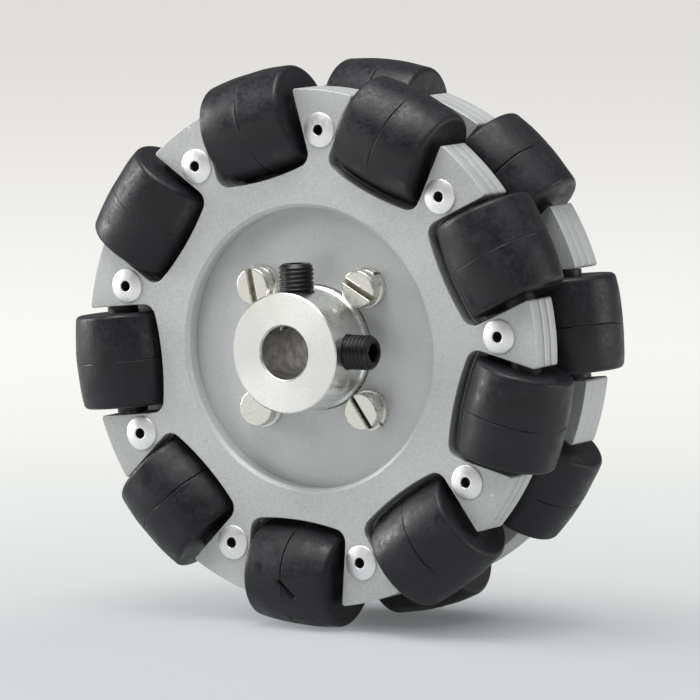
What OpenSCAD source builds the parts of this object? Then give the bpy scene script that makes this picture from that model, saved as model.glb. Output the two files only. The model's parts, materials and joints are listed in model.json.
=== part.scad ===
// Double-row omni wheel: two rows of barrel rollers on a clamped stack of plates, on one turned hub.
// The wheel's axis lies along Y with the hub's nose towards -Y. The origin is the wheel's centre,
// midway between the two rows, on the axis of the bore. Sizes are in millimetres.

/* [Wheel] */
// Diameter over the rollers
wheel_d = 127; // [122:0.5:160]
// Rollers in each row
roller_count = 9; // [7:1:9]
// Clear space between a tyre of one row and the two of the other row that it passes between
row_clear = 0.9; // [0.6:0.1:6]
// Turn of the wheel about its axis, from a rear roller at the top (degrees)
wheel_turn = -3.6; // [-20:0.1:20]
// Turn of the hub and its screws about the axis (degrees)
hub_turn = 1.8; // [-45:0.1:45]

/* [Rollers] */
// Largest diameter of a roller's rubber tyre
roller_d = 23.5; // [18:0.5:24]
// Length of the rubber tyre
tyre_len = 21.4; // [16:0.2:24]
// Radius of the tyre's rounded shoulders
shoulder_r = 1.8; // [0.5:0.1:4]
// Diameter of the nylon core inside the tyre
core_d = 11; // [8:0.5:15]
// Diameter of the short boss at each end of the core
core_boss_d = 7; // [5:0.5:8]
// How far each boss stands out of the tyre
core_boss_len = 1.4; // [0.1:0.1:2]
// Diameter of the axle pins, which is also the thickness of the middle plates
pin_d = 3; // [2:0.5:4]
// How far each end of a pin reaches into its web
pin_grip = 4; // [2:0.1:4.2]
// Running clearance between a pin and its core, on the radius
pin_clear = 0.05; // [0.02:0.01:0.1]

/* [Plates] */
// Thickness of the outer plates
outer_t = 4; // [2:0.5:6]
// Thickness of the inner plates
inner_t = 3; // [2:0.5:5]
// How far the rollers stand out past the plates' rim
rim_drop = 5.2; // [4:0.1:7]
// Clearance between a core's end and the side of its slot
slot_side_clear = 0.3; // [0.2:0.1:1]
// Clearance between a tyre and the bowed inner edge of its slot
slot_back_clear = 1; // [0.5:0.1:2]
// Radius of the slots' inner corners
slot_corner_r = 3; // [1:0.1:4]
// Width of the ring between the recess and the slots
recess_ring_w = 7.3; // [4:0.1:9]
// Chamfer on the mouth of the recess
recess_chamfer = 0.8; // [0.2:0.1:1.5]

/* [Hub] */
// Diameter of the shaft's bore
bore_d = 12; // [6:0.5:14.5]
// Diameter of the nose
nose_d = 27; // [24:0.5:33]
// How far the nose stands out in front of the front outer plate
nose_reach = 10.3; // [9:0.1:20]
// Step from the nose out to the pilots that centre the plates
pilot_step = 0.5; // [0.3:0.1:2]
// How far each pilot stands out of its recess floor
pilot_lift = 2; // [0.5:0.1:3.5]
// Metal left in the flange outside the screws' circle
flange_margin = 5.5; // [4:0.5:8]
// Clear space between the pilot and the washers round it
washer_space = 0.85; // [0.3:0.05:3]
// Chamfer on the bore's mouths and the nose's edge
hub_chamfer = 0.3; // [0.2:0.1:1]

/* [Fasteners] */
// Diameter of the hub screws
screw_d = 5; // [4:0.5:6]
// Diameter of the hub screws' cheese heads
screw_head_d = 8.4; // [7:0.1:10]
// Height of the hub screws' heads
screw_head_h = 3.3; // [2.5:0.1:4]
// Width of the screwdriver slot
driver_slot_w = 1.2; // [0.8:0.1:1.6]
// Depth of the screwdriver slot
driver_slot_depth = 1.4; // [0.8:0.1:2]
// Thread left standing past each nut
screw_tail = 2; // [0.5:0.5:5]
// Outer diameter of the spring washers
washer_d = 9.2; // [8.5:0.1:11]
// Thickness of the spring washers
washer_t = 1.6; // [0.8:0.1:2]
// Size of the nuts across their flats
nut_af = 8; // [7:0.5:10]
// Height of the nuts
nut_h = 4; // [2.5:0.1:5]
// Diameter of the set screws that grip the shaft
set_screw_d = 8; // [5:0.5:9]
// Length of the set screws
set_screw_len = 12; // [8:0.5:12]
// How far the set screws stand out of the nose
set_screw_out = 6; // [0:0.1:6.5]
// Distance from the front outer plate's face to the set screws' axis
set_screw_ahead = 4; // [1:0.05:5]
// Size of the set screws' hexagon sockets across the flats
socket_af = 4; // [2.5:0.5:4.5]
// Diameter of the blind rivets
rivet_d = 4; // [3:0.1:4.8]
// Distance from the pins' circle in to the rivets' circle
rivet_inset = 2.4; // [0:0.1:4]
// Diameter of the rivets' domed heads
rivet_head_d = 7.8; // [6:0.1:8]
// Height of the rivets' domed heads
rivet_head_h = 1; // [0.6:0.1:1.4]
// Diameter of the hole down the middle of a rivet
rivet_hole_d = 2.3; // [1.5:0.1:2.6]

/* [Hidden] */
$fn = 96;
eps = 0.01;
blend = 0.01;              // how far a corner's arc stands through its crown, so that the two cross cleanly
fit = 0.05;                // radial clearance of fixed pieces that pass through a hole
pin_play = 0.1;            // clearance round a pin in its notch
pin_chamfer = 0.3;
pilot_fit = 0.1;           // radial clearance between a pilot and its plates
screw_count = 4;
screw_hole_fit = 0.15;     // radial clearance of the hub screws
screw_head_round = 0.4;
// Directions of the four screwdriver slots, from the upper right screw anticlockwise
driver_slot_angles = [-28, -78, 20, -54];
washer_gap = 0.7;          // split in each spring washer
washer_cut_turn = 20;      // lean of that split
set_screw_chamfer = 0.8;
socket_depth = 4;
cup_depth = 1;             // hollow in the set screws' gripping end
rivet_tail_r = 3.2;        // formed end behind the inner plate
rivet_tail_h = 2.4;
mandrel_head_r = 1.9;
mandrel_head_h = 1.2;
mandrel_below = 3;         // from the top of a rivet's head down to its broken mandrel
nut_chamfer = 0.4;

wheel_r = wheel_d / 2;
axis_r = wheel_r - roller_d / 2;
rim_r = wheel_r - rim_drop;
pitch_angle = 360 / roller_count;
core_len = tyre_len + 2 * core_boss_len;
slot_w = core_len + 2 * slot_side_clear;
slot_inner_r = axis_r - roller_d / 2 - slot_back_clear;
recess_r = slot_inner_r - recess_ring_w;
rivet_circle_r = axis_r - rivet_inset;

// Where a tyre of one row passes closest to one of the other: half way between their middles
meet_x = min(axis_r * tan(pitch_angle / 4), tyre_len / 2);
meet_r = sqrt(pow(wheel_r, 2) - pow(meet_x, 2)) - axis_r;

// Heights from the wheel's centre plane out to one face: the same for both rows
row_z = meet_r + row_clear / 2;
middle_t = pin_d;
middle_z = row_z - middle_t / 2;
inner_z = middle_z - inner_t;
outer_z = middle_z + middle_t;
face_z = outer_z + outer_t;

nose_r = nose_d / 2;
pilot_r = nose_r + pilot_step;
pilot_z = outer_z + pilot_lift;
nose_z = face_z + nose_reach;
screw_circle_r = pilot_r + washer_space + washer_d / 2;
flange_r = screw_circle_r + flange_margin;
head_z = outer_z + washer_t;
screw_end_z = -(outer_z + nut_h + screw_tail);
set_screw_end_r = nose_r + set_screw_out;
set_screw_z = face_z + set_screw_ahead;

plate_grey = [0.68, 0.69, 0.69];
bright_metal = [0.86, 0.86, 0.85];
black_oxide = [0.10, 0.10, 0.11];
rubber_black = [0.13, 0.13, 0.14];
core_black = [0.12, 0.12, 0.12];

// ---- frames ----

// Local Z points along the wheel's axis towards its front, local Y points up
module wheel_frame() {
    rotate([90, 0, 0]) children();
}

// The front row, turned half a pitch from the rear one
module front_row() {
    wheel_frame() rotate([0, 0, wheel_turn + pitch_angle / 2]) children();
}

// The rear row: the front row's pieces back to front
module rear_row() {
    wheel_frame() rotate([0, 0, wheel_turn]) mirror([0, 0, 1]) children();
}

// Centre of roller i, with local Z along its pin and local X away from the wheel's axis
module at_roller(i) {
    rotate([0, 0, 90 - (i - 1) * pitch_angle])
        translate([axis_r, 0, row_z])
            rotate([-90, 0, 0]) children();
}

// Each web between two rollers, at the rivets' circle
module at_webs() {
    for (i = [1 : roller_count])
        rotate([0, 0, 90 - (i - 0.5) * pitch_angle])
            translate([rivet_circle_r, 0, 0]) children();
}

// Direction of hub screw i from the wheel's axis
function screw_angle(i) = hub_turn + (i + 0.5) * 360 / screw_count;

module at_hub_screws() {
    for (i = [0 : screw_count - 1])
        rotate([0, 0, screw_angle(i)])
            translate([screw_circle_r, 0, 0]) children();
}

// Local Z points out along a set screw's axis; side is 0 to the right and 90 on top
module at_set_screw(side) {
    rotate([0, 0, hub_turn + side])
        translate([0, 0, set_screw_z])
            rotate([0, 90, 0]) children();
}

// ---- shared outlines ----

// Outline from start_x to a crown about the wheel's own axis, with X = 0 on the roller's axis.
// The corners between the crown and the straight ends are round arcs that blend into both,
// and on a thin roller they stop at start_x.
module crowned_outline(start_x, half_len, crown_r, corner_r) {
    corner_y = half_len - corner_r;
    corner_x = sqrt(pow(crown_r - corner_r, 2) - pow(corner_y, 2)) - axis_r + blend;
    meet_y = corner_y * crown_r / (crown_r - corner_r);
    translate([start_x, -half_len])
        square([corner_x - start_x, 2 * half_len]);
    intersection() {
        translate([-axis_r, 0]) circle(crown_r);
        translate([start_x, -meet_y]) square([crown_r, 2 * meet_y]);
    }
    for (side = [-1, 1])
        intersection() {
            translate([corner_x, side * corner_y]) circle(corner_r);
            translate([start_x, -crown_r]) square(2 * crown_r);
        }
}

// A roller's slot, open at the rim, its inner edge bowed to follow the tyre
module slot_outline() {
    translate([axis_r, 0])
        mirror([1, 0])
            crowned_outline(axis_r - rim_r - 2, slot_w / 2, wheel_r + slot_back_clear, slot_corner_r);
}

module ring_outline(outer_r, hole_r) {
    difference() {
        circle(outer_r);
        circle(hole_r);
    }
}

// A plate's outline: a disc with a hole, the rollers' slots and the rivets' holes
module plate_outline(hole_r) {
    difference() {
        ring_outline(rim_r, hole_r);
        for (i = [1 : roller_count])
            rotate(90 - (i - 1) * pitch_angle) slot_outline();
        at_webs() circle(rivet_d / 2 + fit);
    }
}

module hub_screw_holes() {
    at_hub_screws() circle(screw_d / 2 + screw_hole_fit);
}

// ---- plates, in a row's frame; turn undoes the row's turn for the hub screws' holes ----

module outer_plate() {
    color(plate_grey)
        translate([0, 0, outer_z])
            difference() {
                linear_extrude(outer_t) plate_outline(recess_r);
                translate([0, 0, outer_t - recess_chamfer])
                    cylinder(h = recess_chamfer + eps, r1 = recess_r, r2 = recess_r + recess_chamfer + eps);
            }
}

// Holds the pins: a notch on each side of every slot takes one pin's end
module middle_plate(turn) {
    color(plate_grey)
        translate([0, 0, middle_z])
            linear_extrude(middle_t)
                difference() {
                    plate_outline(pilot_r + pilot_fit);
                    rotate(turn) hub_screw_holes();
                    for (i = [1 : roller_count])
                        rotate(90 - (i - 1) * pitch_angle)
                            translate([axis_r, 0])
                                square([pin_d + 2 * pin_play, slot_w + 2 * (pin_grip + pin_play)], center = true);
                }
}

module inner_plate(turn) {
    color(plate_grey)
        translate([0, 0, inner_z])
            linear_extrude(inner_t)
                difference() {
                    plate_outline(pilot_r + pilot_fit);
                    rotate(turn) hub_screw_holes();
                }
}

// ---- hub ----

// Half of the hub's section, turned about the wheel's axis
module hub_section() {
    polygon([
        [bore_d / 2 + hub_chamfer, nose_z],
        [nose_r - hub_chamfer, nose_z],
        [nose_r, nose_z - hub_chamfer],
        [nose_r, pilot_z],
        [pilot_r, pilot_z - pilot_step],
        [pilot_r, inner_z],
        [flange_r, inner_z],
        [flange_r, -inner_z],
        [pilot_r, -inner_z],
        [pilot_r, -pilot_z + hub_chamfer],
        [pilot_r - hub_chamfer, -pilot_z],
        [bore_d / 2 + hub_chamfer, -pilot_z],
        [bore_d / 2, -pilot_z + hub_chamfer],
        [bore_d / 2, nose_z - hub_chamfer]
    ]);
}

module hub() {
    color(bright_metal)
        wheel_frame()
            difference() {
                rotate_extrude() hub_section();
                translate([0, 0, -inner_z - eps])
                    linear_extrude(2 * (inner_z + eps)) hub_screw_holes();
                for (side = [0, 90])
                    at_set_screw(side) cylinder(h = nose_d, d = set_screw_d + 2 * fit);
            }
}

// ---- hub fasteners ----

module cheese_head_screw() {
    difference() {
        rotate_extrude() {
            square([screw_head_d / 2, screw_head_h - screw_head_round]);
            square([screw_head_d / 2 - screw_head_round, screw_head_h]);
            translate([screw_head_d / 2 - screw_head_round, screw_head_h - screw_head_round])
                circle(screw_head_round);
        }
        translate([-screw_head_d, -driver_slot_w / 2, screw_head_h - driver_slot_depth])
            cube([2 * screw_head_d, driver_slot_w, driver_slot_depth + eps]);
    }
    translate([0, 0, screw_end_z - head_z])
        cylinder(h = head_z - screw_end_z + eps, d = screw_d);
}

module hub_screws() {
    color(bright_metal)
        wheel_frame()
            for (i = [0 : screw_count - 1])
                rotate([0, 0, screw_angle(i)])
                    translate([screw_circle_r, 0, head_z])
                        rotate([0, 0, driver_slot_angles[i] - screw_angle(i)]) cheese_head_screw();
}

module spring_washers() {
    color(bright_metal)
        wheel_frame()
            at_hub_screws()
                translate([0, 0, outer_z])
                    difference() {
                        linear_extrude(washer_t) ring_outline(washer_d / 2, screw_d / 2 + fit);
                        translate([washer_d / 4 + screw_d / 4, 0, washer_t / 2])
                            rotate([washer_cut_turn, 0, 0])
                                cube([washer_d / 2, washer_gap, 3 * washer_t], center = true);
                    }
}

module hub_nuts() {
    color(bright_metal)
        wheel_frame()
            at_hub_screws()
                mirror([0, 0, 1])
                    translate([0, 0, outer_z])
                        difference() {
                            intersection() {
                                cylinder(h = nut_h, r = nut_af / 2 / cos(30), $fn = 6);
                                rotate_extrude()
                                    polygon([[0, 0], [nut_af / 2 + nut_chamfer, 0],
                                             [nut_af / 2 + nut_chamfer, nut_h - nut_chamfer / 2],
                                             [nut_af / 2, nut_h], [0, nut_h]]);
                            }
                            translate([0, 0, -eps]) cylinder(h = nut_h + 2 * eps, d = screw_d + 2 * fit);
                        }
}

module set_screw(side) {
    color(black_oxide)
        wheel_frame()
            at_set_screw(side)
                translate([0, 0, set_screw_end_r - set_screw_len])
                    difference() {
                        rotate_extrude()
                            polygon([[0, cup_depth], [set_screw_d / 4, 0],
                                     [set_screw_d / 2 - set_screw_chamfer, 0],
                                     [set_screw_d / 2, set_screw_chamfer],
                                     [set_screw_d / 2, set_screw_len - set_screw_chamfer],
                                     [set_screw_d / 2 - set_screw_chamfer, set_screw_len],
                                     [0, set_screw_len]]);
                        translate([0, 0, set_screw_len - socket_depth])
                            cylinder(h = socket_depth + eps, r = socket_af / 2 / cos(30), $fn = 6);
                    }
}

// ---- rivets ----

// A set blind rivet: domed head, stem through the three plates, barrel-shaped tail
module rivets() {
    dome_r = (pow(rivet_head_d / 2, 2) + pow(rivet_head_h, 2)) / (2 * rivet_head_h);
    color(bright_metal)
        at_webs()
            rotate_extrude()
                difference() {
                    union() {
                        intersection() {
                            translate([0, face_z + rivet_head_h - dome_r]) circle(dome_r);
                            translate([0, face_z]) square([dome_r, dome_r]);
                        }
                        translate([0, inner_z - eps])
                            square([rivet_d / 2, face_z - inner_z + 2 * eps]);
                        intersection() {
                            translate([0, inner_z - rivet_tail_h / 2]) circle(rivet_tail_r);
                            translate([0, inner_z - rivet_tail_h]) square([2 * rivet_tail_r, rivet_tail_h]);
                        }
                    }
                    translate([0, inner_z - 2 * rivet_tail_h])
                        square([rivet_hole_d / 2, face_z + 3 * rivet_tail_h]);
                }
}

// What stays in each rivet: the mandrel's head against the tail, and its broken stem
module rivet_mandrels() {
    mandrel_r = rivet_hole_d / 2 - fit;
    tail_z = inner_z - rivet_tail_h;
    color(bright_metal)
        at_webs()
            rotate_extrude() {
                translate([0, tail_z - mandrel_head_h]) square([mandrel_head_r, mandrel_head_h]);
                translate([0, tail_z - eps])
                    square([mandrel_r, face_z + rivet_head_h - mandrel_below - tail_z]);
            }
}

// ---- rollers ----

module axle_pins() {
    half = slot_w / 2 + pin_grip;
    color(bright_metal)
        for (i = [1 : roller_count])
            at_roller(i)
                rotate_extrude()
                    polygon([[0, -half], [pin_d / 2 - pin_chamfer, -half],
                             [pin_d / 2, -half + pin_chamfer], [pin_d / 2, half - pin_chamfer],
                             [pin_d / 2 - pin_chamfer, half], [0, half]]);
}

module roller_core(i) {
    color(core_black)
        at_roller(i)
            rotate_extrude()
                difference() {
                    union() {
                        translate([0, -tyre_len / 2]) square([core_d / 2, tyre_len]);
                        translate([0, -core_len / 2]) square([core_boss_d / 2, core_len]);
                    }
                    translate([0, -core_len]) square([pin_d / 2 + pin_clear, 2 * core_len]);
                }
}

module roller_tyre(i) {
    color(rubber_black)
        at_roller(i)
            rotate_extrude() crowned_outline(core_d / 2, tyre_len / 2, wheel_r, shoulder_r);
}

// ---- pieces ----

// The hub screws' holes stay with the hub while each row of plates is turned about it
front_hole_turn = -(wheel_turn + pitch_angle / 2);
rear_hole_turn = -wheel_turn;

front_row() outer_plate();  // front_outer_plate
front_row() middle_plate(front_hole_turn);  // front_middle_plate
front_row() inner_plate(front_hole_turn);  // front_inner_plate
rear_row() inner_plate(rear_hole_turn);  // rear_inner_plate
rear_row() middle_plate(rear_hole_turn);  // rear_middle_plate
rear_row() outer_plate();  // rear_outer_plate
hub();
hub_screws();
spring_washers();
hub_nuts();
set_screw(90);  // set_screw_top
set_screw(0);  // set_screw_side
front_row() rivets();  // front_rivets
rear_row() rivets();  // rear_rivets
front_row() rivet_mandrels();  // front_rivet_mandrels
rear_row() rivet_mandrels();  // rear_rivet_mandrels
front_row() axle_pins();  // front_axle_pins
rear_row() axle_pins();  // rear_axle_pins
for (i = [1 : roller_count]) {
    front_row() roller_core(i);
    rear_row() roller_core(i);
    front_row() roller_tyre(i);
    rear_row() roller_tyre(i);
}
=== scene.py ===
"""Double-row omni wheel: the finished surfaces of a riveted, roller-rimmed wheel on its turned hub.

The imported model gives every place. Sizes here are in millimetres in each class, and a mesh is written in
metres in the same frame: the wheel's axis along Y with the hub's nose towards -Y, and Z up. A "height" is a
distance out from the wheel's middle plane, towards the front for the front row and the back for the rear row.
"""

from __future__ import annotations

import json
import logging
import math
from dataclasses import dataclass, field
from enum import Enum
from typing import Any, Iterable, Sequence

import bmesh
import bpy
import numpy as np
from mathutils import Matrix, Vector
from mathutils.geometry import delaunay_2d_cdt

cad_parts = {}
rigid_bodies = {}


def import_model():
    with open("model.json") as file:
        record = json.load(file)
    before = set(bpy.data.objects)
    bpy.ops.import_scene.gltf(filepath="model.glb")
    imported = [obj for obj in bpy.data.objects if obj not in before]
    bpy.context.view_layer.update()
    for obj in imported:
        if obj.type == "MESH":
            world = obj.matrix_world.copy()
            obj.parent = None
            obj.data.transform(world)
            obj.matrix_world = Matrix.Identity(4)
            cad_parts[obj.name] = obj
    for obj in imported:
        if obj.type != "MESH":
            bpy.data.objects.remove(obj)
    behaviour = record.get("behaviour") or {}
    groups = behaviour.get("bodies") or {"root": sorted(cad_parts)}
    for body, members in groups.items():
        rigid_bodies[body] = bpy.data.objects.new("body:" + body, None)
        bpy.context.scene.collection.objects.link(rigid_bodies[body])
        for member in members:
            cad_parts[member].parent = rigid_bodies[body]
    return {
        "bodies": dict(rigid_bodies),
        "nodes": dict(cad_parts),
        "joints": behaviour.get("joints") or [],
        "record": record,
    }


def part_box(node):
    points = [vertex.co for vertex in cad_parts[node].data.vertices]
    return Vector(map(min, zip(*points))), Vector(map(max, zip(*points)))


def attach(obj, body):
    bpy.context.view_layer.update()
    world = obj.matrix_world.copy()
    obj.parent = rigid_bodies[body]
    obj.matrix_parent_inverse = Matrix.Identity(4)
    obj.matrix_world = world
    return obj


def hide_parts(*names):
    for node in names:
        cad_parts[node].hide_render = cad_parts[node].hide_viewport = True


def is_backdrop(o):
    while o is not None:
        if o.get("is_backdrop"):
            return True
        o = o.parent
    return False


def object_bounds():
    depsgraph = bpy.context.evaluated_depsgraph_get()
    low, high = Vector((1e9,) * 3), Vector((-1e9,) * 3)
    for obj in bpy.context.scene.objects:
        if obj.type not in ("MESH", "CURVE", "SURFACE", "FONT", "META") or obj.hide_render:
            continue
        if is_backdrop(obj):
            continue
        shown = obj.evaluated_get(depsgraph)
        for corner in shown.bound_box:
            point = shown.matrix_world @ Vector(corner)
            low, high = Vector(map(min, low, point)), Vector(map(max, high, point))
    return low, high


LOG = logging.getLogger("omni_wheel")
Array = np.ndarray
Colour = tuple[float, float, float]
Spread = tuple[float, float, float, float]
Material = bpy.types.Material
Socket = bpy.types.NodeSocket
METRES = 0.001
FULL_TURN = 2.0 * math.pi
# Distances under which points count as one: in a mesh in metres, in a flat area in millimetres, and as a zero.
WELD = 1e-7
FLAT_WELD = 1e-6
TINY = 1e-12
# Distances from the wheel's axis, in millimetres, that more than one sub-assembly keeps.
ROLLER_CIRCLE_R = 51.75
RIVET_CIRCLE_R = 49.35
SCREW_CIRCLE_R = 19.45


# ---- small formulas ----


def smooth_step(value: Array | float) -> Array:
    """A soft step from 0 to 1 as value goes from 0 to 1, level at both ends: 3v^2 - 2v^3."""
    clipped = np.clip(value, 0.0, 1.0)
    return clipped * clipped * (3.0 - 2.0 * clipped)


def bell(distance: Array, width: float) -> Array:
    """A bell curve, 1 at distance 0: exp(-(distance / width)^2)."""
    return np.exp(-((distance / width) ** 2))


def circle_angles(count: int) -> Array:
    """Evenly spaced angles round a full turn, without the last that would repeat the first."""
    return np.arange(count) * FULL_TURN / count


def polar(radius: Array | float, angle: Array) -> Array:
    """Points at a radius and an angle: (r cos a, r sin a)."""
    return np.stack(np.broadcast_arrays(radius * np.cos(angle), radius * np.sin(angle)), axis=-1)


def fillet(corner: Sequence[float], radius: float, start: float, end: float, count: int = 4) -> Array:
    """Points of a round in count steps, start and end in degrees: corner + radius (cos a, sin a)."""
    return np.asarray(corner) + polar(radius, np.radians(np.linspace(start, end, count + 1)))


def plan_axes(angle: float) -> tuple[Array, Array]:
    """Directions in the wheel's plan, at an angle and a quarter turn on: (cos a, 0, sin a), (-sin a, 0, cos a)."""
    cosine, sine = math.cos(angle), math.sin(angle)
    return np.array([cosine, 0.0, sine]), np.array([-sine, 0.0, cosine])


# ---- places ----


@dataclass(frozen=True)
class Place:
    """A local frame in the wheel: an origin and three directions, in millimetres."""

    origin: Array
    x: Array
    y: Array
    z: Array

    def carry(self, points: Array) -> Array:
        """Points moved from this frame to the wheel's: origin + x X + y Y + z Z."""
        return self.origin + points @ np.stack([self.x, self.y, self.z])


class Row(Enum):
    """The wheel's two rows; the value is the sign of the row's side along Y."""

    FRONT = -1
    REAR = 1

    @property
    def label(self) -> str:
        """The word that the row's node names start with."""
        return self.name.lower()

    def from_plan(self, points: Array) -> Array:
        """Points given as (x, z, height) in the wheel's plan, turned to (x, y, z)."""
        return np.stack([points[..., 0], self.value * points[..., 2], points[..., 1]], axis=-1)

    def at_angle(self, angle: float, radius: float, height: float) -> Place:
        """A frame on the row's side, its Z along the wheel's axis and away from the middle plane.

        Args:
            angle: Direction from the wheel's axis, from +X towards +Z, in radians.
            radius: Distance from the wheel's axis.
            height: Distance from the middle plane.

        Returns:
            The frame, its X away from the axis and its Y along the turn.
        """
        out, along = plan_axes(angle)
        axis = np.array([0.0, float(self.value), 0.0])
        return Place(radius * out + height * axis, out, along, axis)


@dataclass(frozen=True)
class RollerSeat:
    """Where one roller turns, read from its joint."""

    row: Row
    number: int
    centre: Array
    axis: Array

    @property
    def angle(self) -> float:
        """Direction of the roller's centre from the wheel's axis, in radians."""
        return math.atan2(self.centre[2], self.centre[0])

    @property
    def body(self) -> str:
        """Name of the body that turns here."""
        return f"{self.row.label}_roller_{self.number}"

    @property
    def place(self) -> Place:
        """Frame with Z along the pin, X away from the wheel's axis and Y out of the row's side."""
        return Place(self.centre, plan_axes(self.angle)[0], np.array([0.0, float(self.row.value), 0.0]), self.axis)


def web_angles(seats: Iterable[RollerSeat], row: Row) -> list[float]:
    """Angles of a row's webs, each half a pitch past one of its rollers."""
    angles = [seat.angle for seat in seats if seat.row is row]
    return [angle + math.pi / len(angles) for angle in angles]


def read_seats(joints: Iterable[dict[str, Any]]) -> list[RollerSeat]:
    """Reads each roller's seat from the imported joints.

    Args:
        joints: The record's joints, one for each roller.

    Returns:
        The seats, in millimetres.
    """
    seats = []
    for joint in joints:
        row_word, _, number = joint["child"].split("_")
        seats.append(
            RollerSeat(
                Row[row_word.upper()],
                int(number),
                np.array(joint["pos_m"]) / METRES,
                np.array(joint["axis"], dtype=float),
            )
        )
    return seats


# ---- meshes ----


def grid_faces(rows: int, columns: int, wrap: bool) -> Array:
    """Quads between neighbouring rows and columns of a grid of points.

    Args:
        rows: Rows of points.
        columns: Points in each row.
        wrap: Whether each row closes on itself.

    Returns:
        (n, 4) indices into the grid's points, row after row.
    """
    index = np.arange(rows * columns).reshape(rows, columns)
    if wrap:
        index = np.concatenate([index, index[:, :1]], axis=1)
    return np.stack([index[:-1, :-1], index[:-1, 1:], index[1:, 1:], index[1:, :-1]], axis=-1).reshape(-1, 4)


@dataclass
class Draft:
    """Surfaces gathered for one piece, in millimetres, and closed into one mesh."""

    points: list[Array] = field(default_factory=list)
    faces: list[Array] = field(default_factory=list)
    finishes: list[Array] = field(default_factory=list)
    count: int = 0

    def add(self, points: Array, faces: Array, finish: int | Array = 0) -> None:
        """Adds points and the faces between them.

        Args:
            points: (n, 3) points.
            faces: (m, 3) or (m, 4) indices into these points.
            finish: Index of the faces' finish on the piece, or one index for each face.
        """
        self.points.append(points.reshape(-1, 3))
        self.faces.append(faces + self.count)
        self.finishes.append(np.broadcast_to(np.asarray(finish), (len(faces),)))
        self.count += self.points[-1].shape[0]

    def add_grid(self, grid: Array, wrap: bool = True, finish: int | Array = 0) -> None:
        """Adds a surface given as (rows, columns, 3) points, each row closed on itself if wrap says so."""
        self.add(grid, grid_faces(grid.shape[0], grid.shape[1], wrap), finish)

    def join(self, other: Draft) -> None:
        """Takes in another draft's surfaces.

        Args:
            other: The other draft, which stays as it is.
        """
        self.points += other.points
        self.faces += [faces + self.count for faces in other.faces]
        self.finishes += other.finishes
        self.count += other.count

    def repeated(self, places: Sequence[Place]) -> Draft:
        """The same surfaces at each of several places.

        Args:
            places: The local frames that these surfaces are carried from.

        Returns:
            A new draft that holds all the copies.
        """
        copies = Draft()
        for place in places:
            copies.join(Draft([place.carry(points) for points in self.points], self.faces, self.finishes, self.count))
        return copies

    def build(self, node: str, body: str, slot: str, materials: Sequence[Material], sharp: float = 40.0) -> None:
        """Writes the piece that stands for a plain node, with doubles merged and every face outwards.

        Args:
            node: The node that it replaces.
            body: The body that it moves with.
            slot: The record's material slot of its finish; not used.
            materials: Its finishes, in the order of their indices.
            sharp: Angle in degrees from which an edge stays sharp.
        """
        name = f"{node}_finished"
        mesh = bpy.data.meshes.new(name)
        corners = [tuple(face) for faces in self.faces for face in faces.tolist()]
        mesh.from_pydata((np.concatenate(self.points) * METRES).tolist(), [], corners)
        for material in materials:
            mesh.materials.append(material)
        mesh.polygons.foreach_set("material_index", np.concatenate(self.finishes).astype(np.int32))
        shape = bmesh.new()
        shape.from_mesh(mesh)
        bmesh.ops.remove_doubles(shape, verts=shape.verts, dist=WELD)
        bmesh.ops.dissolve_degenerate(shape, edges=shape.edges, dist=WELD)
        bmesh.ops.recalc_face_normals(shape, faces=shape.faces)
        open_edges = sum(not edge.is_manifold for edge in shape.edges)
        shape.to_mesh(mesh)
        shape.free()
        mesh.shade_smooth()
        mesh.set_sharp_from_angle(angle=math.radians(sharp))
        piece = bpy.data.objects.new(name, mesh)
        bpy.context.scene.collection.objects.link(piece)
        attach(piece, body)
        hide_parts(node)
        LOG.info("%s: %d faces, %d open edges", name, len(mesh.polygons), open_edges)


def turned(section: Iterable[Sequence[Any]], angles: Array) -> Array:
    """Pairs of radius, one number or one for each angle, and z turned about Z: rows of (r cos a, r sin a, z)."""
    rows = [polar(np.broadcast_to(r, angles.shape), angles) for r, _ in section]
    return np.stack([np.insert(row, 2, z, axis=1) for row, (_, z) in zip(rows, section)])


def hexagon(across_flats: float, angles: Array) -> Array:
    """Radius of a hexagon: half its width across the flats over the cosine from the nearest flat's middle."""
    sixth = FULL_TURN / 6.0
    return across_flats / 2.0 / np.cos((angles + sixth / 2.0) % sixth - sixth / 2.0)


def miter_normals(loop: Array) -> Array:
    """Directions into the material at each point of a closed loop.

    Each is the sum of the two edges' left normals over 1 plus their dot product, so that a move along it
    shifts both edges by the same amount.

    Args:
        loop: (n, 2) points, with the material on their left.

    Returns:
        (n, 2) directions.
    """
    ahead = np.roll(loop, -1, axis=0) - loop
    ahead /= np.linalg.norm(ahead, axis=1, keepdims=True)
    left = np.stack([-ahead[:, 1], ahead[:, 0]], axis=1)
    before = np.roll(left, 1, axis=0)
    return (left + before) / (1.0 + np.sum(left * before, axis=1, keepdims=True))


def carried_wall(loop: Array, section: Array) -> Array:
    """A wall's section carried along a closed loop.

    Args:
        loop: (n, 2) points of the loop, with the material on its left.
        section: (m, 2) points as (distance into the material, height).

    Returns:
        (m, n, 3) points: loop + distance * normal, and the height.
    """
    moved = loop[None] + section[:, 0, None, None] * miter_normals(loop)[None]
    heights = np.broadcast_to(section[:, 1, None, None], (len(section), len(loop), 1))
    return np.concatenate([moved, heights], axis=-1)


def wall_section(low: float, high: float, low_end: Array, high_end: Array) -> Array:
    """A wall's section as (distance in, height), from its edges as (distance in, distance from their face)."""
    return np.concatenate([low_end * (1.0, 1.0) + (0.0, low), high_end[::-1] * (1.0, -1.0) + (0.0, high)])


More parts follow.
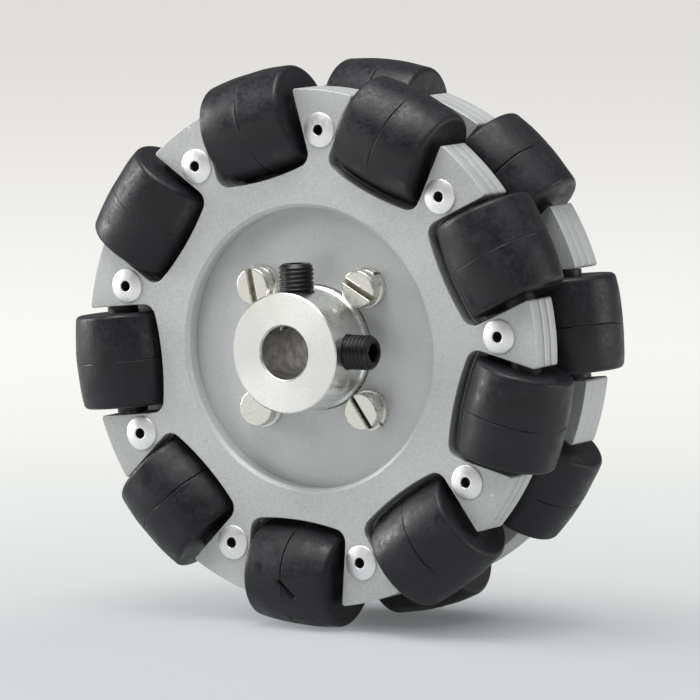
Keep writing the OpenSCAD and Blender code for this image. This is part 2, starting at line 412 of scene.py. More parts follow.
def is_inside(points: Array, loops: Sequence[Array]) -> Array:
    """Whether points lie in the area between loops: a ray to the right crosses the loops an odd number of times.

    Args:
        points: (m, 2) points.
        loops: (n, 2) closed loops.

    Returns:
        (m,) truth values.
    """
    start = np.concatenate(loops)
    end = np.concatenate([np.roll(loop, -1, axis=0) for loop in loops])
    spans = (start[:, 1] > points[:, 1, None]) != (end[:, 1] > points[:, 1, None])
    rise = np.where(np.abs(end[:, 1] - start[:, 1]) < TINY, 1.0, end[:, 1] - start[:, 1])
    crossing = start[:, 0] + (points[:, 1, None] - start[:, 1]) * (end[:, 0] - start[:, 0]) / rise
    return np.sum(spans & (points[:, 0, None] < crossing), axis=1) % 2 == 1


def flat_fill(loops: Sequence[Array]) -> tuple[Array, Array]:
    """Triangles of the flat area inside the first of some loops and outside the others.

    Args:
        loops: (n, 2) closed loops that don't cross.

    Returns:
        The loops' points in order, and (m, 3) indices into them.
    """
    starts = np.cumsum([0] + [len(loop) for loop in loops])
    edges = []
    for loop, start in zip(loops, starts):
        index = np.arange(len(loop))
        edges += np.stack([start + index, start + np.roll(index, -1)], axis=1).tolist()
    points = np.concatenate(loops)
    found, _, triangles, *_ = delaunay_2d_cdt([Vector(p) for p in points], edges, [], 0, FLAT_WELD)
    flat, corners = np.array([tuple(p) for p in found]), np.array(triangles, dtype=np.int64)
    return flat, corners[is_inside(flat[corners].mean(axis=1), loops)]


# ---- finishes ----


class Nodes:
    """Lays out the nodes of one procedural material, reading the piece's own place in the wheel."""

    def __init__(self, name: str) -> None:
        """Starts an empty material.

        Args:
            name: The material's name.
        """
        self.material = bpy.data.materials.new(name)
        self.material.use_nodes = True
        self.tree = self.material.node_tree
        self.tree.nodes.clear()
        self.place = self.make("ShaderNodeTexCoord").outputs["Object"]

    def make(self, kind: str, inputs: dict[str | int, Any] | None = None, **settings: Any) -> bpy.types.Node:
        """Makes one node.

        Args:
            kind: The node's type.
            inputs: Sockets to set or, where the value is a socket, to link.
            settings: The node's own properties.

        Returns:
            The node.
        """
        node = self.tree.nodes.new(kind)
        for name, value in settings.items():
            setattr(node, name, value)
        for key, value in (inputs or {}).items():
            if isinstance(value, Socket):
                self.tree.links.new(value, node.inputs[key])
            else:
                node.inputs[key].default_value = value
        return node

    def maths(self, operation: str, first: Any, second: Any = 0.0, third: Any = 0.0) -> Socket:
        """One sum on numbers or sockets, by the Math node's operation of that name."""
        return self.make("ShaderNodeMath", {0: first, 1: second, 2: third}, operation=operation).outputs[0]

    def grain(self, size: float, detail: float = 2.0) -> Socket:
        """Noise from 0 to 1.

        Args:
            size: Size of its features, in millimetres.
            detail: Finer layers added to it.

        Returns:
            The noise's value.
        """
        scale = 1.0 / (size * METRES)
        inputs = {"Vector": self.place, "Scale": scale, "Detail": detail, "Roughness": 0.6}
        return self.make("ShaderNodeTexNoise", inputs).outputs[0]

    def distance(self, spot: Sequence[float], in_plan: bool = False) -> Socket:
        """Distance from a spot, in metres.

        Args:
            spot: The spot (x, y, z), in metres.
            in_plan: Whether the place's y is taken as 0, so that it is a distance in the wheel's plan.

        Returns:
            The distance's value.
        """
        place = self.place
        if in_plan:
            place = self.make("ShaderNodeVectorMath", {0: place, 1: (1.0, 0.0, 1.0)}, operation="MULTIPLY").outputs[0]
        return self.make("ShaderNodeVectorMath", {0: place, 1: tuple(spot)}, operation="DISTANCE").outputs["Value"]

    def axis_distance(self) -> Socket:
        """Distance from the wheel's axis, in metres."""
        return self.distance((0.0, 0.0, 0.0), in_plan=True)

    def lathe_marks(self, pitch: float) -> Socket:
        """Fine rings left by a turning tool, from noise along (radius + height) about the wheel's axis.

        Args:
            pitch: Size of the noise's features, in millimetres.

        Returns:
            The noise's value.
        """
        height = self.make("ShaderNodeSeparateXYZ", {0: self.place}).outputs[1]
        reach = self.maths("ADD", self.axis_distance(), self.maths("ABSOLUTE", height))
        scaled = self.maths("MULTIPLY", reach, 1.0 / (pitch * METRES))
        return self.make(
            "ShaderNodeTexNoise", {"W": scaled, "Scale": 1.0, "Detail": 3.0, "Roughness": 0.7}, noise_dimensions="1D"
        ).outputs[0]

    def spread(
        self, value: Socket, low: float, high: float, to_low: float, to_high: float
    ) -> Socket:
        """value carried from the range low to high to the range to_low to to_high, and clipped to it."""
        return self.make(
            "ShaderNodeMapRange",
            {"Value": value, "From Min": low, "From Max": high, "To Min": to_low, "To Max": to_high},
        ).outputs[0]

    def vary(self, noise: Socket, low: float, high: float) -> Socket:
        """low to high as noise goes over its usual range, 0.3 to 0.7."""
        return self.spread(noise, 0.3, 0.7, low, high)

    def blend(self, amount: Any, first: Any, second: Any) -> Socket:
        """A colour from first to second by amount."""
        ends = [(*end, 1.0) if isinstance(end, tuple) else end for end in (first, second)]
        return self.make("ShaderNodeMix", {0: amount, 6: ends[0], 7: ends[1]}, data_type="RGBA").outputs[2]

    def shade(self, noise: Socket, colour: Sequence[float], amount: float) -> Socket:
        """colour made up to amount darker or lighter by noise."""
        low, high = (tuple(c * (1.0 + sign * amount) for c in colour) for sign in (-1.0, 1.0))
        return self.blend(self.vary(noise, 0.0, 1.0), low, high)

    def bump(
        self, value: Socket, depth: float, under: Socket | None = None
    ) -> Socket:
        """A bumped normal.

        Args:
            value: The relief, from 0 to 1.
            depth: Its depth, in millimetres.
            under: A normal that this one is laid over.

        Returns:
            The normal.
        """
        inputs: dict[str | int, Any] = {"Height": value, "Strength": 1.0, "Distance": depth * METRES}
        if under is not None:
            inputs["Normal"] = under
        return self.make("ShaderNodeBump", inputs).outputs[0]

    def finish(
        self, colour: Any, metallic: float, roughness: Any, normal: Any, **sockets: Any
    ) -> Material:
        """Ends the material in one shader.

        Args:
            colour: Base colour or its socket.
            metallic: 1 for bare metal, 0 for rubber and plastic.
            roughness: Roughness or its socket.
            normal: The normal's socket.
            sockets: Further shader sockets by name, with _ for a space.

        Returns:
            The material.
        """
        inputs: dict[str | int, Any] = {
            "Base Color": (*colour, 1.0) if isinstance(colour, tuple) else colour,
            "Metallic": metallic,
            "Roughness": roughness,
            "Normal": normal,
        }
        inputs.update({name.replace("_", " "): value for name, value in sockets.items()})
        shader = self.make("ShaderNodeBsdfPrincipled", inputs)
        self.make("ShaderNodeOutputMaterial", {"Surface": shader.outputs[0]})
        return self.material


@dataclass(frozen=True)
class BlastedAluminium:
    """Bead-blasted plate: an even grey of fine grain, with faint clouds and a few pits."""

    colour: Colour = (0.475, 0.49, 0.488)
    grain_size: float = 0.42
    grain_depth: float = 0.03
    glint: float = 1.35
    glints: Spread = (0.30, 0.72, 0.0, 0.75)
    pit_size: float = 1.1
    pit: float = 0.6
    pits: Spread = (0.72, 0.8, 0.0, 0.4)
    cloud_size: float = 14.0
    cloud: float = 0.07
    roughness: float = 0.50
    metallic: float = 0.30
    dings: tuple[tuple[float, float], ...] = ((-31.3, 48.4), (47.4, -29.8), (-12.0, 37.5))
    ding_size: float = 0.48
    bare: Colour = (0.92, 0.92, 0.90)

    def make(self) -> Material:
        """Makes the material.

        Returns:
            The material.
        """
        nodes = Nodes("blasted_aluminium")
        grain = nodes.grain(self.grain_size, 3.0)
        clouds = nodes.grain(self.cloud_size, 3.0)
        colour = nodes.shade(clouds, self.colour, self.cloud)
        pits = nodes.grain(self.pit_size, 1.0)
        for noise, spread, level in ((grain, self.glints, self.glint), (pits, self.pits, self.pit)):
            colour = nodes.blend(nodes.spread(noise, *spread), colour, tuple(level * c for c in self.colour))
        for x, z in self.dings:
            away = nodes.distance((x * METRES, 0.0, z * METRES), in_plan=True)
            struck = nodes.spread(away, 0.2 * self.ding_size * METRES, self.ding_size * METRES, 0.8, 0.0)
            colour = nodes.blend(struck, colour, self.bare)
        roughness = nodes.vary(clouds, self.roughness - 0.05, self.roughness + 0.05)
        return nodes.finish(colour, self.metallic, roughness, nodes.bump(grain, self.grain_depth))


@dataclass(frozen=True)
class TurnedAluminium:
    """Bright turned metal: fine rings, faint blotches, a few brown specks, and painted shade darkening the bore."""

    colour: Colour = (0.95, 0.95, 0.93)
    # Colour of the painted shade inside the bore.
    bore_colour: Colour = (0.62, 0.605, 0.60)
    bore_r: float = 6.38
    anisotropy: float = 0.6
    bore_blend: float = 0.08
    bore_roughness: float = 0.4
    ring_pitch: float = 0.16
    ring_depth: float = 0.006
    blotch_size: float = 4.0
    speck_pitch: float = 5.0
    speck_edge: Spread = (0.03, 0.09, 1.0, 0.0)
    speck_choice: Spread = (0.55, 0.6, 0.0, 0.7)
    speck_colour: Colour = (0.34, 0.27, 0.21)
    roughness: float = 0.27

    def make(self) -> Material:
        """Makes the material.

        Returns:
            The material.
        """
        nodes = Nodes("turned_aluminium")
        rings = nodes.lathe_marks(self.ring_pitch)
        blotches = nodes.grain(self.blotch_size, 4.0)
        scale = 1.0 / (self.speck_pitch * METRES)
        specks = nodes.make("ShaderNodeTexVoronoi", {"Vector": nodes.place, "Scale": scale}).outputs
        chosen = nodes.make("ShaderNodeSeparateColor", {0: specks["Color"]}).outputs[0]
        near = nodes.spread(specks["Distance"], *self.speck_edge)
        dirt = nodes.maths("MULTIPLY", near, nodes.spread(chosen, *self.speck_choice))
        colour = nodes.blend(dirt, nodes.shade(blotches, self.colour, 0.05), self.speck_colour)
        bore_edge = (self.bore_r * METRES, (self.bore_r + self.bore_blend) * METRES)
        # Painted shade: inside bore_r the colour is made darker, as the bore's depth would shade it.
        bore_shade = nodes.spread(nodes.axis_distance(), *bore_edge, 1.0, 0.0)
        colour = nodes.blend(bore_shade, colour, nodes.shade(nodes.grain(2.2, 3.0), self.bore_colour, 0.35))
        roughness = nodes.vary(blotches, self.roughness - 0.05, self.roughness + 0.09)
        roughness = nodes.maths("MAXIMUM", roughness, nodes.maths("MULTIPLY", bore_shade, self.bore_roughness))
        relief = nodes.bump(nodes.grain(0.5, 2.0), 0.004, nodes.bump(rings, self.ring_depth))
        turn = nodes.make("ShaderNodeTangent", direction_type="RADIAL", axis="Y").outputs[0]
        return nodes.finish(colour, 1.0, roughness, relief, Anisotropic=self.anisotropy, Tangent=turn)


@dataclass(frozen=True)
class PlainMetal:
    """Drawn, plated or blackened metal with a fine mottle and rubbed streaks."""

    name: str
    colour: Colour
    roughness: float
    mottle: float = 0.10
    relief: float = 0.008
    metallic: float = 1.0
    mottle_size: float = 1.3
    fine_size: float = 0.25

    def make(self) -> Material:
        """Makes the material.

        Returns:
            The material.
        """
        nodes = Nodes(self.name)
        mottle = nodes.grain(self.mottle_size, 4.0)
        fine = nodes.grain(self.fine_size)
        colour = nodes.shade(mottle, self.colour, self.mottle)
        roughness = nodes.vary(mottle, self.roughness - 0.06, self.roughness + 0.10)
        return nodes.finish(colour, self.metallic, roughness, nodes.bump(fine, self.relief))


@dataclass(frozen=True)
class MouldedRubber:
    """Black tyre rubber: satin, faintly uneven, with dull scuffs and a trace of dust."""

    colour: Colour = (0.0078, 0.0073, 0.0105)
    dust: Colour = (0.026, 0.025, 0.029)
    roughness: float = 0.42
    skin_size: float = 0.22
    scuff_size: float = 0.9
    lump_size: float = 1.6
    cloud_size: float = 3.5
    wide_size: float = 11.0
    dusty: Spread = (0.50, 0.72, 0.0, 0.7)

    def make(self) -> Material:
        """Makes the material.

        Returns:
            The material.
        """
        nodes = Nodes("moulded_rubber")
        skin = nodes.grain(self.skin_size)
        cloud, scuffs = nodes.grain(self.cloud_size, 5.0), nodes.grain(self.scuff_size, 6.0)
        colour = nodes.shade(nodes.grain(self.wide_size), self.colour, 0.22)
        worn = nodes.maths("ADD", nodes.maths("MULTIPLY", cloud, 0.5), nodes.maths("MULTIPLY", scuffs, 0.5))
        colour = nodes.blend(nodes.spread(worn, *self.dusty), colour, self.dust)
        roughness = nodes.spread(worn, 0.36, 0.64, self.roughness - 0.15, self.roughness + 0.20)
        relief = nodes.bump(nodes.grain(self.lump_size, 3.0), 0.05)
        return nodes.finish(colour, 0.0, roughness, nodes.bump(skin, 0.008, relief), Specular_IOR_Level=0.4)


@dataclass(frozen=True)
class Nylon:
    """Black moulded nylon with faint clouding."""

    colour: Colour = (0.018, 0.018, 0.020)
    roughness: float = 0.42
    skin_size: float = 0.3
    cloud_size: float = 2.5

    def make(self) -> Material:
        """Makes the material.

        Returns:
            The material.
        """
        nodes = Nodes("moulded_nylon")
        colour = nodes.shade(nodes.grain(self.cloud_size, 3.0), self.colour, 0.05)
        return nodes.finish(colour, 0.0, self.roughness, nodes.bump(nodes.grain(self.skin_size), 0.006))


def made(finish: Any) -> Any:
    """A dataclass field that holds a finish's material."""
    return field(default_factory=finish.make)


@dataclass
class Finishes:
    """Every finish on the wheel, made once."""

    plate: Material = made(BlastedAluminium())
    hub: Material = made(TurnedAluminium())
    plated: Material = made(PlainMetal("plated_steel", (0.80, 0.79, 0.75), 0.26))
    # Dirt-coloured steel that also paints the shade in the screws' slots.
    slot_grime: Material = made(PlainMetal("grimy_steel", (0.38, 0.36, 0.29), 0.5, mottle=0.25, relief=0.02))
    black: Material = made(PlainMetal("black_oxide_steel", (0.045, 0.044, 0.043), 0.36, mottle=0.25, relief=0.01))
    rivet: Material = made(
        PlainMetal("drawn_aluminium", (0.94, 0.94, 0.94), 0.42, mottle=0.06, relief=0.006, metallic=0.85)
    )
    pin: Material = made(PlainMetal("ground_steel", (0.30, 0.30, 0.30), 0.34, mottle=0.08, relief=0.004))
    # A dark steel that paints shade: in the rivets' holes, on their mandrels and in one screw slot.
    shadowed: Material = made(PlainMetal("oily_steel", (0.14, 0.13, 0.125), 0.6, mottle=0.3, relief=0.02))
    rubber: Material = made(MouldedRubber())
    nylon: Material = made(Nylon())


# ---- the wheel's sub-assemblies ----


@dataclass
class Plates:
    """Three flat plates a side, clamped and riveted into a stack, with a slot for each roller."""

    seats: list[RollerSeat]
    rim_r: float = 58.3
    slot_w: float = 24.8
    slot_crown_r: float = 64.5
    slot_corner_r: float = 3.0
    recess_r: float = 31.7
    recess_chamfer: float = 0.8
    mouth_r: float = 0.12
    pilot_hole_r: float = 14.1
    rivet_hole_r: float = 2.05
    screw_hole_r: float = 2.65
    corner_r: float = 0.6
    edge_r: float = 0.22
    seam_half_w: float = 0.26
    seam_depth: float = 0.5
    rear_share: float = 0.12
    flat_band: float = 0.08
    screw_places: tuple[float, ...] = ()

    @property
    def rim_corner(self) -> tuple[float, float]:
        """Centre of the round between the rim and a slot's side, as (distance out, distance across)."""
        across = self.slot_w / 2.0 + self.corner_r
        return math.sqrt((self.rim_r - self.corner_r) ** 2 - across**2), across

    def slot_side(self) -> Array:
        """One slot's outline from the rim to the middle of its bowed inner edge.

        A small round leaves the rim, the side runs straight in, a corner arc turns it, and the bow keeps a
        constant gap from the tyre: distance out = 2 * roller circle - sqrt(crown^2 - across^2).

        Returns:
            (n, 2) points as (distance out from the wheel's axis, distance across the slot).
        """
        half = self.slot_w / 2.0
        across_c = half - self.slot_corner_r
        reach = math.sqrt((self.slot_crown_r - self.slot_corner_r) ** 2 - across_c**2)
        out_c = 2.0 * ROLLER_CIRCLE_R - reach
        last = math.degrees(math.asin(reach / (self.slot_crown_r - self.slot_corner_r)))
        rim_out, rim_across = self.rim_corner
        first = math.degrees(math.atan2(rim_across, rim_out))
        round_off = fillet((rim_out, rim_across), self.corner_r, first, -90.0, 6)
        straight = np.stack([np.linspace(rim_out, out_c, 5), np.full(5, half)], axis=1)[1:-1]
        turn = np.radians(np.linspace(0.0, last, 11))
        corner = self.slot_corner_r * np.stack([-np.sin(turn), np.cos(turn)], axis=1) + (out_c, across_c)
        across = np.linspace(corner[-1, 1], 0.0, 13)[1:]
        bow = np.stack([2.0 * ROLLER_CIRCLE_R - np.sqrt(self.slot_crown_r**2 - across**2), across], axis=1)
        return np.concatenate([round_off, straight, corner, bow])

    def outline(self, row: Row) -> Array:
        """A plate's outer outline, anticlockwise: rim arcs between the slots.

        Args:
            row: The row whose slots it has.

        Returns:
            (n, 2) points of the closed loop as (x, z).
        """
        side = self.slot_side()
        slot = np.concatenate([side * (1.0, -1.0), side[-2::-1]])
        angles = np.sort([seat.angle % FULL_TURN for seat in self.seats if seat.row is row])
        pitch = FULL_TURN / len(angles)
        half = math.atan2(*self.rim_corner[::-1])
        arc = np.linspace(half, pitch - half, 20)[1:-1]
        loops = []
        for angle in angles:
            out, across = slot[:, 0], slot[:, 1]
            cos_a, sin_a = math.cos(angle), math.sin(angle)
            loops.append(np.stack([out * cos_a - across * sin_a, out * sin_a + across * cos_a], axis=1))
            loops.append(polar(self.rim_r, angle + arc))
        return np.concatenate(loops)

    def hole(self, radius: float, centre: Sequence[float] = (0.0, 0.0), count: int = 32) -> Array:
        """A hole's outline, clockwise so that the plate is on its left."""
        return np.asarray(centre) + polar(radius, -circle_angles(count))

    def small_holes(self, row: Row, through_hub_screws: bool) -> list[Array]:
        """The rivets' holes in the webs and, near the hub, those of its screws.

        Args:
            row: The plate's row.
            through_hub_screws: Whether the hub's screws pass through it.

        Returns:
            The holes' outlines.
        """
        spots = [(RIVET_CIRCLE_R, angle, self.rivet_hole_r) for angle in web_angles(self.seats, row)]
        if through_hub_screws:
            spots += [(SCREW_CIRCLE_R, angle, self.screw_hole_r) for angle in self.screw_places]
        return [self.hole(r, (away * math.cos(a), away * math.sin(a))) for away, a, r in spots]

    def round_end(self) -> Array:
        """A wall's rounded edge at a face: (distance into the plate, distance below the face)."""
        edge = self.edge_r
        return np.concatenate([[[edge + self.flat_band, 0.0]], fillet((edge, edge), edge, 270.0, 180.0, 4)])

    def seam_end(self, row: Row) -> Array:
        """A wall's edge where two plates meet, in round_end's form: broken, so that they leave a fine V groove.

        The rear row's plates are pressed closer together, with a share of the front row's groove.

        Args:
            row: The plates' row.

        Returns:
            (4, 2) points.
        """
        share = 1.0 if row is Row.FRONT else self.rear_share
        depth, half = share * self.seam_depth, share * self.seam_half_w
        groove = [[depth, 0.1 * half], [0.1 * depth, 0.9 * half], [0.0, 1.3 * half]]
        return np.array([[depth + self.flat_band, 0.0], *groove])

    def mouth_end(self) -> Array:
        """The edge of the recess's mouth, in round_end's form: a chamfer, broken at both its ends.

        Returns:
            (n, 2) points.
        """
        chamfer, top_r = self.recess_chamfer, self.mouth_r
        top = fillet((chamfer + top_r, top_r), top_r, 270.0, 225.0, 2)
        foot = [[0.03, chamfer - 0.03], [0.0, chamfer + 0.05]]
        return np.concatenate([[[chamfer + top_r + self.flat_band, 0.0]], top, foot])

    def build(self, row: Row, layer: str, heights: tuple[float, float], finishes: Finishes) -> None:
        """Makes one plate in place of its plain node.

        Args:
            row: The plate's row.
            layer: outer, middle or inner.
            heights: Its two faces, as distances from the middle plane.
            finishes: The wheel's finishes.
        """
        low, high = heights
        is_outer = layer == "outer"
        middle = self.hole(self.recess_r if is_outer else self.pilot_hole_r, count=192)
        seam, edge = self.seam_end(row), self.round_end()
        outer_section = wall_section(low, high, edge if layer == "inner" else seam, edge if is_outer else seam)
        middle_section = wall_section(low, high, edge, self.mouth_end() if is_outer else edge)
        walls = [carried_wall(self.outline(row), outer_section), carried_wall(middle, middle_section)]
        straight = np.array([[0.0, low], [0.0, high]])
        walls += [carried_wall(loop, straight) for loop in self.small_holes(row, not is_outer)]
        draft = Draft()
        for wall in walls:
            draft.add_grid(row.from_plan(wall))
        for end in (0, -1):
            flat, triangles = flat_fill([wall[end, :, :2] for wall in walls])
            height = np.full((len(flat), 1), heights[end])
            draft.add(row.from_plan(np.concatenate([flat, height], axis=1)), triangles)
        draft.build(f"{row.label}_{layer}_plate", "wheel", "plates", [finishes.plate], 30.0)


@dataclass(frozen=True)
class Slash:
    """A cut in a tyre's skin, from one (distance along the pin, angle about it) to another."""

    start: tuple[float, float]
    end: tuple[float, float]
    depth: float
    half_w: float


@dataclass
class Tyre:
    """A crowned rubber tyre whose outline follows the wheel's own circle, with its mould line."""

    wheel_r: float = 63.5
    half_len: float = 10.7
    shoulder_r: float = 1.2
    core_r: float = 5.5
    skin_r: float = 11.5
    around: int = 216
    line_steps: tuple[float, ...] = (0.0, 0.05, 0.10, 0.16, 0.24, 0.36)
    line_edge: float = 0.55
    crown_steps: int = 17
    groove_w: float = 0.11
    shut: float = 0.15
    end_fade: float = 1.5
    flash: float = 0.10
    dent: float = 0.05
    flash_away: float = 0.36
    flash_w: float = 0.25
    line_reach: float = 3.0
    shift_step: float = 2.399
    face_r: float = 6.4
    line_offset: float = -0.2
    line_waves: tuple[tuple[float, float, float], ...] = ((0.42, 1.0, 1.0), (0.14, 3.0, -1.0), (0.05, 9.0, 1.0))
    line_depths: dict[Row, tuple[float, ...]] = field(
        default_factory=lambda: {
            Row.FRONT: (0.18, 0.16, 0.08, 0.22, 0.26, 0.42, 0.25, 0.09, 0.09),
            Row.REAR: (0.25, 0.40, 0.20, 0.25, 0.25, 0.25, 0.25, 0.25, 0.25),
        }
    )
    slashes: dict[tuple[Row, int], Slash] = field(
        default_factory=lambda: {(Row.FRONT, 6): Slash((-0.6, 1.51), (2.7, 1.24), 1.4, 0.38)}
    )

    def crown(self, along: Array) -> Array:
        """Radius of the true skin: sqrt(wheel_r^2 - along^2) - the roller circle's radius."""
        return np.sqrt(self.wheel_r**2 - along**2) - ROLLER_CIRCLE_R

    def stations(self) -> Array:
        """The section from one end's core to the other's.

        The shoulders are arcs tangent to the crown, and the stations lie closest about the mould line.

        Returns:
            (n, 2) points as (radius, distance from the mould line).
        """
        corner = self.half_len - self.shoulder_r
        reach = math.sqrt((self.wheel_r - self.shoulder_r) ** 2 - corner**2)
        last = math.degrees(math.asin(corner / (self.wheel_r - self.shoulder_r)))
        meet = corner * self.wheel_r / (self.wheel_r - self.shoulder_r)
        side = fillet((reach - ROLLER_CIRCLE_R, corner), self.shoulder_r, 90.0, last, 10)
        fine = np.concatenate([self.line_steps, np.linspace(self.line_edge, meet, self.crown_steps)])
        along = np.concatenate([-fine[:0:-1], fine])[1:-1]
        face = [[radius, self.half_len] for radius in (self.core_r, self.face_r, side[0, 0] - 0.1)]
        end = np.concatenate([face, side])
        return np.concatenate([end * (1.0, -1.0), np.stack([self.crown(along), along], axis=1), end[::-1]])

    def mould_line(self, angle: Array, shift: float) -> Array:
        """Where the mould halves met, along the pin: sines of 1, 3 and 9 waves a turn about its offset."""
        wander = sum(height * np.sin(waves * angle + sign * shift) for height, waves, sign in self.line_waves)
        return wander + self.line_offset

    def relief(self, angle: Array, away: Array, depth: float, shift: float) -> Array:
        """How far the moulded skin stands out of the true shape.

        A broken groove lies on the line where the mould halves met, with a little flash beside it; broad,
        shallow waves lie over the whole skin.

        Args:
            angle: Angle about the pin.
            away: Distance from the mould line.
            depth: Depth of the groove.
            shift: Angle that shifts every pattern of this tyre.

        Returns:
            Distance outwards, in millimetres.
        """
        open_part = smooth_step(0.8 + 0.6 * np.sin(3.0 * angle + 2.3 * shift) + 0.4 * np.sin(7.0 * angle - shift))
        groove = -depth * bell(away, self.groove_w) * (self.shut + (1.0 - self.shut) * open_part)
        patches = smooth_step((np.sin(2.0 * angle + 2.1 * shift) - 0.8) / 0.2)
        flash = self.flash * bell(away - self.flash_away, self.flash_w) * patches
        waves = self.dent * (
            np.sin(2.0 * angle + 0.9 * shift) * np.cos(0.28 * away + shift)
            + 0.6 * np.sin(5.0 * angle - shift + 0.5 * away)
            + 0.4 * np.sin(0.8 * away + 3.0 * angle + 2.0 * shift)
        )
        return (groove + flash + waves) * smooth_step((self.half_len - np.abs(away)) / self.end_fade)

    def cut_depth(self, slash: Slash, angle: Array, along: Array) -> Array:
        """Depth of a cut: a bell of the distance to its line, on the skin laid flat.

        Args:
            slash: The cut.
            angle: Angles about the pin.
            along: Distances along the pin.

        Returns:
            The depth at each angle and distance.
        """
        spot = np.stack(np.broadcast_arrays(along, self.skin_r * angle), axis=-1)
        start, end = (np.array([x, self.skin_r * turn]) for x, turn in (slash.start, slash.end))
        run = end - start
        share = np.clip((spot - start) @ run / (run @ run), 0.0, 1.0)
        return slash.depth * bell(np.linalg.norm(spot - start - share[..., None] * run, axis=-1), slash.half_w)

    def build(self, seat: RollerSeat, finishes: Finishes) -> None:
        """Makes one tyre in place of its plain node.

        Args:
            seat: Where its roller turns.
            finishes: The wheel's finishes.
        """
        angle = circle_angles(self.around)[None]
        radius, away = self.stations().T[..., None]
        depths = self.line_depths[seat.row]
        shift = self.shift_step * (seat.number + len(depths) * (seat.row is Row.REAR))
        along = away + self.mould_line(angle, shift) * bell(away, self.line_reach)
        raised = self.relief(angle, away, depths[seat.number - 1], shift)
        if (seat.row, seat.number) in self.slashes:
            raised = raised - self.cut_depth(self.slashes[seat.row, seat.number], angle, along)
        raised = np.where(radius > self.face_r, raised, 0.0)
        ring = polar(radius + self.crown(along) - self.crown(away) + raised, angle)
        skin = np.concatenate([ring, along[..., None]], axis=-1)
        draft = Draft()
        draft.add_grid(seat.place.carry(np.concatenate([skin, skin[:1]])))
        node = f"{seat.row.label}_roller_tyre_{seat.number}"
        draft.build(node, seat.body, "rubber", [finishes.rubber], 50.0)


@dataclass
class Rivets:
    """Set blind rivets through the webs: a domed head, the stem and a barrelled tail, pierced by a hole."""

    face_height: float
    inner_height: float
    hole_r: float = 1.2
    stem_r: float = 2.0
    head_r: float = 3.9
    head_h: float = 1.0
    head_edge: float = 0.28
    brim: float = 0.12
    mouth_r: float = 0.2
    barrel_sweep: tuple[float, float] = (70.0, -60.0)
    tail_r: float = 3.2
    tail_h: float = 2.4
    around: int = 56

    def section(self) -> Array:
        """The closed section, from the hole's mouth over the dome and down to the tail and back.

        The dome falls with the square of the radius, from the hole's rounded mouth to the rim's edge.

        Returns:
            (n, 2) points as (radius, height), without the first one again at the end.
        """
        face, inner, mouth_r = self.face_height, self.inner_height, self.mouth_r
        head_r, edge = self.head_r, face + self.head_edge
        spread = np.linspace(head_r - self.brim, self.hole_r + mouth_r + 0.02, 12)
        dome = np.stack([spread, edge + (self.head_h - self.head_edge) * (1.0 - (spread / head_r) ** 2)], axis=1)
        mouth = fillet((self.hole_r + mouth_r, dome[-1, 1] - mouth_r), mouth_r, 90.0, 180.0, 3)
        rim = np.array([[head_r - 0.05, face], [head_r, face + 0.08], [head_r, edge - 0.06]])
        sweep = np.radians(np.linspace(*self.barrel_sweep, 9))
        bulge = (self.tail_r - self.stem_r) * np.cos(sweep)
        barrel = np.stack([self.stem_r + bulge, inner - self.tail_h * (0.5 - 0.5 * np.sin(sweep))], axis=1)
        stem = np.array([[self.stem_r, face], [self.stem_r, inner], [self.stem_r + 0.3, inner]])
        low = np.array([[self.stem_r, inner - self.tail_h], [self.hole_r, inner - self.tail_h]])
        return np.concatenate([mouth[::-1], dome[::-1], rim[::-1], stem, barrel, low])

    def build(self, row: Row, places: Sequence[Place], finishes: Finishes) -> None:
        """Makes a row's rivets in place of their plain node.

        Args:
            row: The rivets' row.
            places: One frame for each rivet, at the middle plane.
            finishes: The wheel's finishes.
        """
        section = self.section()
        draft = Draft()
        # The hole's wall takes the dark finish that paints the shade down the hole.
        hole_in_shade = np.repeat(np.arange(len(section)) == len(section) - 1, self.around)
        draft.add_grid(turned(np.concatenate([section, section[:1]]), circle_angles(self.around)), finish=hole_in_shade)
        materials = [finishes.rivet, finishes.shadowed]
        draft.repeated(places).build(f"{row.label}_rivets", "wheel", "rivets", materials, 45.0)


@dataclass
class Thread:
    """An outer screw thread: its radius waves once in every pitch along the screw and once in every turn."""

    major_r: float
    pitch: float
    depth: float
    root: float = 0.12
    slope: float = 0.72

    def radius(self, angle: Array, along: Array) -> Array:
        """Radius at an angle and a distance along the screw.

        The ridge is a triangle wave of (along / pitch - angle / full turn), clipped to a flat crest and root.

        Args:
            angle: Angles about the screw.
            along: Distances along it.

        Returns:
            The radius at each of them.
        """
        turn = along / self.pitch - angle / FULL_TURN
        ridge = np.abs(2.0 * (turn - np.floor(turn)) - 1.0)
        return self.major_r - self.depth * (1.0 - np.clip((ridge - self.root) / self.slope, 0.0, 1.0))


